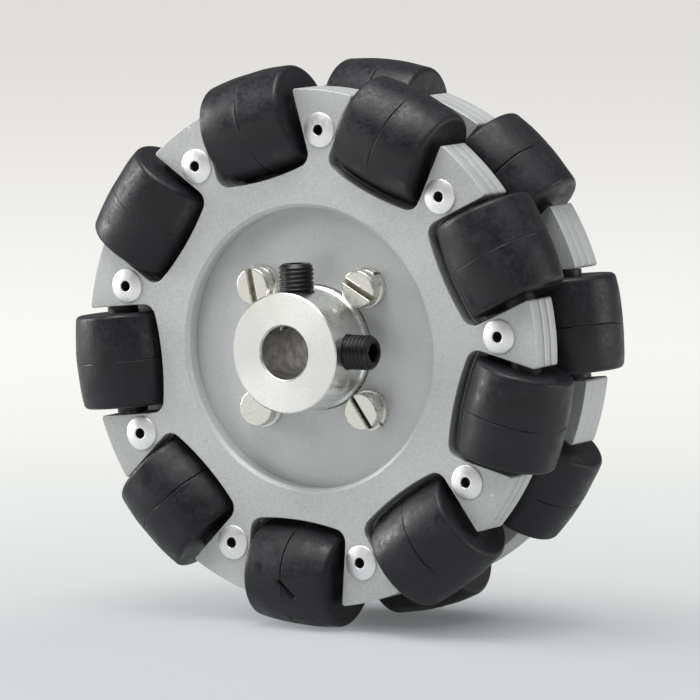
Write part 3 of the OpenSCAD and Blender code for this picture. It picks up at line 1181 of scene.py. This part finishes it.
@dataclass
class SetScrew:
    """A black socket set screw: a thread with chamfered ends and a hexagon socket."""

    length: float = 12.0
    thread: Thread = field(default_factory=lambda: Thread(3.9, 1.0, 0.34))
    chamfer: float = 0.8
    socket_af: float = 4.0
    socket_depth: float = 4.0
    drill_point: float = 1.0
    cup_r: float = 2.0
    cup_depth: float = 0.9
    pitch_steps: int = 16
    around: int = 96

    def surface(self) -> Array:
        """The closed skin: the smaller of the thread's radius and its end chamfers', then the socket.

        Returns:
            (rows, points, 3) points from the gripping end to the socket's floor.
        """
        angles = circle_angles(self.around)
        along = np.linspace(0.0, self.length, int(self.length / self.thread.pitch * self.pitch_steps) + 1)
        cone = self.thread.major_r - self.chamfer + np.minimum(along, self.length - along)
        body = np.minimum(self.thread.radius(angles[None], along[:, None]), cone[:, None])
        socket = hexagon(self.socket_af, angles)
        top, floor = self.length, self.length - self.socket_depth
        cup = [(0.0, self.cup_depth), (self.cup_r, 0.0)]
        mouth = [(socket + 0.18, top), (socket + 0.04, top - 0.06), (socket, top - 0.2)]
        drilled = [(socket, floor), (socket * 0.8, floor - 0.1), (0.0, floor - self.drill_point)]
        return turned(cup + list(zip(body, along)) + mouth + drilled, angles)

    def build(self, node: str, place: Place, finishes: Finishes) -> None:
        """Makes one set screw in place of its plain node.

        Args:
            node: The node that it stands for.
            place: Its frame, with the origin at its gripping end and Z out of the hub.
            finishes: The wheel's finishes.
        """
        draft = Draft()
        draft.add_grid(place.carry(self.surface()))
        draft.build(node, "wheel", "black_steel", [finishes.black])


@dataclass(frozen=True)
class DriverSlot:
    """The slot sawn across one screw's head: its direction, size and the finish of its walls."""

    angle: float
    width: float
    depth: float
    finish: int


@dataclass
class HubScrews:
    """Slotted cheese-head screws with spring washers in front and nuts behind."""

    angles: tuple[float, ...]
    floor_height: float
    # Slot finish 0 is plain plating, 1 is dirt with painted shade in the slot, 2 is painted shade alone.
    slots: tuple[DriverSlot, ...] = (
        DriverSlot(-28.0, 1.2, 1.4, 1),
        DriverSlot(-78.0, 1.2, 1.4, 1),
        DriverSlot(20.0, 0.9, 0.012, 0),
        DriverSlot(-54.0, 0.8, 1.4, 2),
    )
    head_r: float = 4.2
    head_h: float = 3.3
    head_round: float = 0.45
    slot_edge: float = 0.12
    lip_w: float = 0.15
    straight_half_w: float = 1.2
    grime_past: float = 0.06
    mouth_past: float = 0.04
    seat_edge: float = 0.1
    round_steps: int = 4
    thread_steps: int = 78
    washer_steps: int = 72
    nut_steps: int = 96
    lip_reach: float = 0.35
    wall_inset: float = 0.02
    floor_inset: float = 0.12
    washer_r: float = 4.6
    washer_t: float = 1.6
    washer_gap: float = 0.7
    washer_edge: float = 0.15
    washer_lean: float = 20.0
    nut_af: float = 8.0
    nut_h: float = 4.0
    nut_face_r: float = 3.85
    nut_cone_h: float = 0.45
    nut_sink: float = 0.25
    bore_r: float = 2.55
    tail: float = 2.0
    tip_r: float = 2.05
    thread_len: float = 3.4
    thread: Thread = field(default_factory=lambda: Thread(2.5, 0.8, 0.42))

    def slot_depths(self, slot: DriverSlot, across: Array) -> Array:
        """Depth of a driver slot: a soft step down at each side, and a bell outside it that rounds its lip.

        Args:
            slot: The driver slot.
            across: Distances across it.

        Returns:
            The depth at each distance.
        """
        inside = smooth_step((slot.width / 2.0 + self.slot_edge - np.abs(across)) / self.slot_edge)
        past = np.maximum(np.abs(across) - slot.width / 2.0 - self.slot_edge, 0.0)
        lip = min(0.6 * self.slot_edge, slot.depth) * bell(past, self.lip_w)
        return slot.depth * inside + lip * (1.0 - inside)

    def columns(self, slot: DriverSlot) -> Array:
        """Distances across the slot for the head's grid, closest at the slot's lips.

        Args:
            slot: The driver slot.

        Returns:
            The distances in order, the middle at 0.
        """
        half = slot.width / 2.0
        lip = np.linspace(half - self.wall_inset, half + self.slot_edge + self.lip_reach, 9)
        plain = np.linspace(lip[-1], self.head_r - self.head_round, 12)[1:]
        floor = np.linspace(self.floor_inset - half, half - self.floor_inset, 5)
        right = np.concatenate([lip, plain])
        return np.concatenate([-right[::-1], floor, right])

    def head_grid(self, slot: DriverSlot) -> tuple[Array, Array]:
        """The head's top as a grid of chords across the slot, and the closed loop round its edge.

        Height is the top less the slot's depth at that distance across it.

        Args:
            slot: The driver slot.

        Returns:
            (chords, points, 3) and (loop, 3) arrays, with the seat at height 0.
        """
        across = self.columns(slot)
        flat_r = self.head_r - self.head_round
        share = np.sin(np.linspace(-0.5, 0.5, 21) * math.pi)
        chord = np.sqrt(np.maximum(flat_r**2 - across**2, 0.0))
        height = self.head_h - self.slot_depths(slot, across)
        grid = np.stack(
            np.broadcast_arrays(chord[:, None] * share[None], across[:, None], height[:, None]), axis=-1
        ).copy()
        loop = np.concatenate([grid[:, -1], grid[-2:0:-1, 0]])
        return grid, loop

    def skirt(self, slot: DriverSlot, loop: Array) -> list[Array]:
        """Rows of points from the head's top edge, round its corner and down its wall to the seat.

        Near the slot a point keeps its distance across it, so that the slot's ends stay straight.

        Args:
            slot: The driver slot.
            loop: (n, 3) points of the top edge.

        Returns:
            (n, 3) rows of points, the loop not among them.
        """
        flat_r, near = self.head_r - self.head_round, self.straight_half_w
        floor = self.head_h - max(slot.depth, self.head_round + 0.05)
        corner = fillet((flat_r, self.head_h - self.head_round), self.head_round, 90.0, 0.0, self.round_steps)
        wall = [(self.head_r, z) for z in (floor + 0.02, floor - 0.02, self.seat_edge)]
        wall.append((self.head_r - self.seat_edge, 0.0))
        side = np.sign(np.where(np.abs(loop[:, 0]) < WELD, 1.0, loop[:, 0]))
        outer = np.clip((np.abs(loop[:, 1]) - near) / (flat_r - near), 0.0, 1.0)
        rows = []
        for radius, z in np.concatenate([corner, wall]):
            y = loop[:, 1] * (1.0 + (radius / flat_r - 1.0) * outer)
            x = side * np.sqrt(np.maximum(radius**2 - y**2, 0.0))
            rows.append(np.stack([x, y, np.minimum(z, loop[:, 2])], axis=1))
        return rows

    def shank(self, angle: Array) -> Array:
        """Rows of points from the seat down the shank and over its threaded end.

        Args:
            angle: Angle of each point in a row.

        Returns:
            (rows, points, 3) points, the last row at the middle of the tip.
        """
        end = -(2.0 * self.floor_height + self.washer_t + self.nut_h + self.tail)
        along = np.linspace(self.thread_len, 0.0, self.thread_steps)
        threads = np.minimum(self.thread.radius(angle[None], along[:, None]), (self.tip_r + along)[:, None])
        plain = [(self.thread.major_r, 0.0), (self.thread.major_r, end + self.thread_len + 0.1)]
        return turned([*plain, *zip(threads, end + along), (0.0, end)], angle)

    def screw(self, slot: DriverSlot) -> Draft:
        """One screw, with X along its slot and its head's seat at height 0.

        Args:
            slot: Its driver slot.

        Returns:
            Its surfaces, with the slot's finish inside the slot.
        """
        grid, loop = self.head_grid(slot)
        skirt = self.skirt(slot, loop)
        rows = np.stack([loop, *skirt, *self.shank(np.arctan2(skirt[-1][:, 1], skirt[-1][:, 0]))])
        draft = Draft()
        middle = (grid[:-1, :-1, 1] + grid[1:, :-1, 1]) / 2.0
        in_slot = np.abs(middle) < slot.width / 2.0 + self.grime_past
        draft.add_grid(grid, wrap=False, finish=slot.finish * in_slot.astype(int).ravel())
        at_mouth = np.abs(loop[:, 1]) < slot.width / 2.0 + self.mouth_past
        # Walls at the slot's mouth take the slot's finish: dirt with painted shade, or painted shade alone.
        dirt_and_shade = np.zeros((len(rows) - 1, len(loop)), dtype=int)
        dirt_and_shade[: self.round_steps + 1] = slot.finish * (at_mouth & np.roll(at_mouth, -1))
        draft.add_grid(rows, finish=dirt_and_shade.ravel())
        return draft

    def washer(self) -> Draft:
        """One split spring washer lying on height 0, its split facing away from the wheel's axis.

        Its section is carried round by an angle that starts and ends on the split's two leaning faces.

        Returns:
            Its surfaces.
        """
        bore_r, outer_r, edge = self.bore_r, self.washer_r, self.washer_edge
        corners = [(outer_r - edge, edge, 270.0), (outer_r - edge, self.washer_t - edge, 0.0)]
        corners += [(bore_r + edge, self.washer_t - edge, 90.0), (bore_r + edge, edge, 180.0)]
        section = np.concatenate([fillet((r, z), edge, start, start + 90.0, 2) for r, z, start in corners])
        radius, height = section[:, 0], section[:, 1]
        lean = math.tan(math.radians(self.washer_lean)) * (height - self.washer_t / 2.0)
        start = (self.washer_gap / 2.0 + lean) / radius
        end = FULL_TURN - (self.washer_gap / 2.0 - lean) / radius
        share = np.linspace(0.0, 1.0, self.washer_steps + 1)
        angle = start + share[:, None] * (end - start)
        ring = np.concatenate([polar(radius, angle), np.broadcast_to(height[:, None], (*angle.shape, 1))], axis=-1)
        draft = Draft()
        draft.add_grid(ring)
        for cut in (0, -1):
            middle = ring[cut].mean(axis=0, keepdims=True)
            fan = np.stack([np.broadcast_to(middle, ring[cut].shape), ring[cut]])
            draft.add_grid(fan)
        return draft

    def nut(self) -> Draft:
        """One hexagon nut standing on height 0.

        Its radius is the smaller of the hexagon's and a turned cone's, which rounds the corners off.

        Returns:
            Its surfaces.
        """
        angle = circle_angles(self.nut_steps)
        flats = hexagon(self.nut_af, angle)
        corner_r, face_r = self.nut_af / 2.0 / math.cos(FULL_TURN / 12.0), self.nut_face_r
        share = np.linspace(0.0, 1.0, 6)
        cone = face_r + np.concatenate([share, share[::-1]]) * (corner_r - face_r)
        heights = np.concatenate([self.nut_cone_h * share, self.nut_h - self.nut_cone_h * share[::-1]])
        sink, bore_r = self.nut_sink, self.bore_r
        rows = [(bore_r + sink, 0.0)] + [(np.minimum(flats, c), z) for c, z in zip(cone, heights)]
        rows += [(bore_r + sink, self.nut_h), (bore_r, self.nut_h - sink), (bore_r, sink), (bore_r + sink, 0.0)]
        draft = Draft()
        draft.add_grid(turned(rows, angle))
        return draft

    def build(self, finishes: Finishes) -> None:
        """Makes the screws, washers and nuts in place of their plain nodes.

        Args:
            finishes: The wheel's finishes.
        """
        seat_height = self.floor_height + self.washer_t
        screws = Draft()
        for angle, slot in zip(self.angles, self.slots):
            at = Row.FRONT.at_angle(angle, SCREW_CIRCLE_R, seat_height)
            screws.join(self.screw(slot).repeated([Place(at.origin, *plan_axes(math.radians(slot.angle)), at.z)]))
        # Finishes 1 and 2 paint shade into the slots.
        inside = [finishes.plated, finishes.slot_grime, finishes.shadowed]
        screws.build("hub_screws", "wheel", "plated_steel", inside)
        for node, draft, row, sharp in (
            ("spring_washers", self.washer(), Row.FRONT, 40.0),
            ("hub_nuts", self.nut(), Row.REAR, 32.0),
        ):
            places = [row.at_angle(angle, SCREW_CIRCLE_R, self.floor_height) for angle in self.angles]
            draft.repeated(places).build(node, "wheel", "plated_steel", [finishes.plated], sharp)


@dataclass
class OmniWheel:
    """The whole wheel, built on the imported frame."""

    frame: dict[str, Any]
    finishes: Finishes
    hub_turn: float = 1.8
    set_screw_end_r: float = 19.5
    set_screw_ahead: float = 4.0

    def __post_init__(self) -> None:
        """Reads the rollers' seats from the frame, and sets the hub screws' angles."""
        self.seats = read_seats(self.frame["joints"])
        self.screw_angles = tuple(math.radians(self.hub_turn + 45.0 + 90.0 * k) for k in range(4))

    def heights(self, node: str) -> tuple[float, float]:
        """The lowest and highest distance of a node from the middle plane."""
        low, high = (abs(corner.y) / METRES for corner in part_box(node))
        return (round(min(low, high), 3), round(max(low, high), 3))

    def build_plates(self) -> None:
        """Makes the six plates."""
        plates = Plates(self.seats, screw_places=self.screw_angles)
        for row in Row:
            for layer in ("outer", "middle", "inner"):
                plates.build(row, layer, self.heights(f"{row.label}_{layer}_plate"), self.finishes)

    def build_rivets(self) -> None:
        """Makes both rows' rivets."""
        for row in Row:
            face = self.heights(f"{row.label}_outer_plate")[1]
            inner = self.heights(f"{row.label}_inner_plate")[0]
            places = [row.at_angle(angle, RIVET_CIRCLE_R, 0.0) for angle in web_angles(self.seats, row)]
            Rivets(face, inner).build(row, places, self.finishes)

    def build_rollers(self) -> None:
        """Makes every roller's tyre."""
        tyre = Tyre()
        for seat in self.seats:
            tyre.build(seat, self.finishes)

    def build_set_screws(self) -> None:
        """Makes the set screw on top of the nose and the one at its side."""
        screw = SetScrew()
        height = self.heights("front_outer_plate")[1] + self.set_screw_ahead
        axis = np.array([0.0, -1.0, 0.0])
        for node, side in (("set_screw_top", 90.0), ("set_screw_side", 0.0)):
            out, _ = plan_axes(math.radians(self.hub_turn + side))
            origin = height * axis + (self.set_screw_end_r - screw.length) * out
            screw.build(node, Place(origin, np.cross(axis, out), axis, out), self.finishes)

    def dress_nodes(self) -> None:
        """Gives the nodes that stay their finishes."""
        finish_of = {
            "hub": self.finishes.hub,
            # The mandrels take the dark finish that paints the shade in the rivets' holes.
            "front_rivet_mandrels": self.finishes.shadowed,
            "rear_rivet_mandrels": self.finishes.shadowed,
            "front_axle_pins": self.finishes.pin,
            "rear_axle_pins": self.finishes.pin,
        }
        for name, node in self.frame["nodes"].items():
            if name in finish_of or "_core_" in name:
                node.data.materials.clear()
                node.data.materials.append(finish_of.get(name, self.finishes.nylon))

    def build(self) -> None:
        """Makes every piece of the wheel in order."""
        self.build_plates()
        self.build_rivets()
        floor = self.heights("front_outer_plate")[0]
        HubScrews(self.screw_angles, floor).build(self.finishes)
        self.build_set_screws()
        self.build_rollers()
        self.dress_nodes()


# ---- studio ----


def looking_from(azimuth: float, elevation: float) -> Vector:
    """Direction to a viewer at an azimuth from -Y towards +X and an elevation, both in degrees."""
    turn, rise = math.radians(azimuth), math.radians(elevation)
    return Vector((math.sin(turn) * math.cos(rise), -math.cos(turn) * math.cos(rise), math.sin(rise)))


def aimed(data: Any, place: Vector, target: Vector) -> bpy.types.Object:
    """Puts a camera or a lamp in the scene.

    Args:
        data: Its settings, whose name it takes.
        place: Where it is.
        target: Where it looks.

    Returns:
        The new object.
    """
    viewer = bpy.data.objects.new(data.name, data)
    viewer.location = place
    viewer.rotation_euler = (target - viewer.location).to_track_quat("-Z", "Y").to_euler()
    bpy.context.scene.collection.objects.link(viewer)
    return viewer


@dataclass(frozen=True)
class Viewpoint:
    """The camera: a long lens, a little above the hub and well round to its right."""

    azimuth: float = 31.12
    elevation: float = 6.53
    distance: float = 1359.0
    focal_length: float = 312.2
    sensor_width: float = 36.0
    clip_range: tuple[float, float] = (0.05, 50.0)
    right: float = 9.446
    down: float = 0.29

    def place(self, anchor: Vector) -> bpy.types.Object:
        """Sets up the camera.

        Args:
            anchor: The point that the distance and angles are measured from, in metres.

        Returns:
            The camera, aimed right of the anchor and below it by this view's offsets.
        """
        away = looking_from(self.azimuth, self.elevation)
        right = looking_from(self.azimuth + 90.0, 0.0)
        up = away.cross(right)
        data = bpy.data.cameras.new("studio_camera")
        data.lens, data.sensor_width = self.focal_length, self.sensor_width
        data.clip_start, data.clip_end = self.clip_range
        target = anchor + (self.right * right - self.down * up) * METRES
        return aimed(data, anchor + away * self.distance * METRES, target)


@dataclass(frozen=True)
class Softbox:
    """A square area light aimed at the wheel."""

    name: str
    azimuth: float
    elevation: float
    distance: float
    size: float
    power: float

    def hang(self) -> None:
        """Hangs the light at its angles from the wheel's centre."""
        data = bpy.data.lights.new(self.name, "AREA")
        data.shape, data.size, data.energy = "SQUARE", self.size, self.power
        aimed(data, self.distance * looking_from(self.azimuth, self.elevation), Vector((0.0, 0.0, 0.0)))


@dataclass(frozen=True)
class Studio:
    """A pale floor, painted darker round the wheel as a soft shadow and paler with distance, soft lights above and
    all round, and a plain sky.
    """

    reach: float = 14.0
    # Centre of the floor's painted shadow, in metres.
    pool: tuple[float, float, float] = (0.031, -0.051, 0.0)
    albedo: float = 0.65
    lit_shares: tuple[float, float] = (0.85, 0.30)
    fade: tuple[float, float] = (0.012, 0.045)
    stand: tuple[float, float] = (0.012, 0.010)
    lamp_level: float = 1.25
    sky: float = 0.216
    # The near stops are darker, a painted shadow round the wheel; the far ones give the backdrop's pale tone.
    stops: tuple[tuple[float, Colour], ...] = (
        (0.00, (0.620, 0.646, 0.664)),
        (0.10, (0.628, 0.655, 0.664)),
        (0.14, (0.714, 0.743, 0.735)),
        (0.18, (0.730, 0.759, 0.753)),
        (0.27, (0.787, 0.817, 0.811)),
        (0.33, (0.842, 0.850, 0.810)),
        (0.39, (0.894, 0.902, 0.861)),
        (0.48, (0.936, 0.944, 0.902)),
        (0.61, (0.985, 0.993, 0.950)),
        (0.76, (1.000, 1.000, 0.962)),
        (1.13, (1.000, 0.995, 0.970)),
        (1.38, (1.000, 0.977, 0.949)),
        (2.06, (0.964, 0.950, 0.922)),
        (2.50, (0.980, 0.942, 0.914)),
    )
    lights: tuple[Softbox, ...] = (
        Softbox("overhead_light", -15.0, 78.0, 1.20, 0.70, 11.2),
        Softbox("key_light", -20.0, 55.0, 1.20, 0.60, 3.8),
        Softbox("left_light", -76.0, 15.0, 1.20, 0.60, 10.7),
        Softbox("right_light", 110.0, 8.0, 1.20, 0.60, 3.5),
        Softbox("right_upper_light", 75.0, 55.0, 1.20, 0.60, 1.8),
        Softbox("back_light", 150.0, 60.0, 1.20, 0.60, 0.5),
    )

    def floor_colour(self, nodes: Nodes) -> Socket:
        """The floor's colour by distance from the painted shadow's centre: darker near the wheel, as a painted
        shadow.

        Args:
            nodes: The floor's nodes.

        Returns:
            The colour, which runs straight from each of the stops to the next.
        """
        far = self.stops[-1][0]
        ramp = nodes.make("ShaderNodeValToRGB", {0: nodes.maths("DIVIDE", nodes.distance(self.pool), far)})
        points = ramp.color_ramp.elements
        while len(points) < len(self.stops):
            points.new(0.5)
        for point, (distance, colour) in zip(points, self.stops):
            point.position = distance / far
            point.color = (*colour, 1.0)
        return ramp.outputs[0]

    def floor_material(self, height: float) -> Material:
        """The floor: one colour, part lit and part glowing where it is seen.

        Args:
            height: The floor's height, in metres.

        Returns:
            The material. Its lit share is greatest where the wheel stands.
        """
        nodes = Nodes("studio_floor")
        colour = self.floor_colour(nodes)
        seen = nodes.make("ShaderNodeLightPath").outputs
        is_seen = nodes.maths("MAXIMUM", seen["Is Camera Ray"], seen["Is Transmission Ray"])
        is_seen = nodes.maths("MAXIMUM", is_seen, seen["Is Glossy Ray"])
        share = nodes.spread(nodes.distance((*self.stand, height)), *self.fade, *self.lit_shares)
        dimmed = nodes.blend(nodes.maths("DIVIDE", share, self.lamp_level), (0.0, 0.0, 0.0), colour)
        lit = nodes.make("ShaderNodeBsdfDiffuse", {"Color": dimmed})
        unlit = nodes.maths("SUBTRACT", 1.0, share)
        glow = nodes.make("ShaderNodeEmission", {"Color": colour, "Strength": unlit})
        shown = nodes.make("ShaderNodeAddShader", {0: lit.outputs[0], 1: glow.outputs[0]})
        plain = nodes.make("ShaderNodeBsdfDiffuse", {"Color": (self.albedo,) * 3 + (1.0,)})
        both = nodes.make("ShaderNodeMixShader", {0: is_seen, 1: plain.outputs[0], 2: shown.outputs[0]})
        nodes.make("ShaderNodeOutputMaterial", {"Surface": both.outputs[0]})
        return nodes.material

    def build(self, height: float) -> None:
        """Lays the floor and hangs the lights.

        Args:
            height: The floor's height, in metres.
        """
        mesh = bpy.data.meshes.new("studio_floor")
        edge = self.reach
        corners = [(-edge, -edge, height), (edge, -edge, height), (edge, edge, height), (-edge, edge, height)]
        mesh.from_pydata(corners, [], [(0, 1, 2, 3)])
        mesh.materials.append(self.floor_material(height))
        floor = bpy.data.objects.new("studio_floor", mesh)
        bpy.context.scene.collection.objects.link(floor)
        floor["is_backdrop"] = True
        world = bpy.data.worlds.new("studio_sky")
        bpy.context.scene.world = world
        world.use_nodes = True
        background = world.node_tree.nodes["Background"].inputs
        background["Color"].default_value = (1.0, 1.0, 1.0, 1.0)
        background["Strength"].default_value = self.sky
        for light in self.lights:
            light.hang()
        bpy.context.scene.view_settings.view_transform = "Standard"


def main() -> None:
    """Builds the wheel and its studio, and finishes the scene."""
    logging.basicConfig(level=logging.INFO, format="%(name)s: %(message)s")
    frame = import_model()
    cad_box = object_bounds()
    wheel = OmniWheel(frame, Finishes())
    wheel.build()
    anchor = Vector((0.0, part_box("front_outer_plate")[0].y, 0.0))
    bpy.context.scene.camera = Viewpoint().place(anchor)
    Studio().build(cad_box[0].z)


if __name__ == "__main__":
    main()
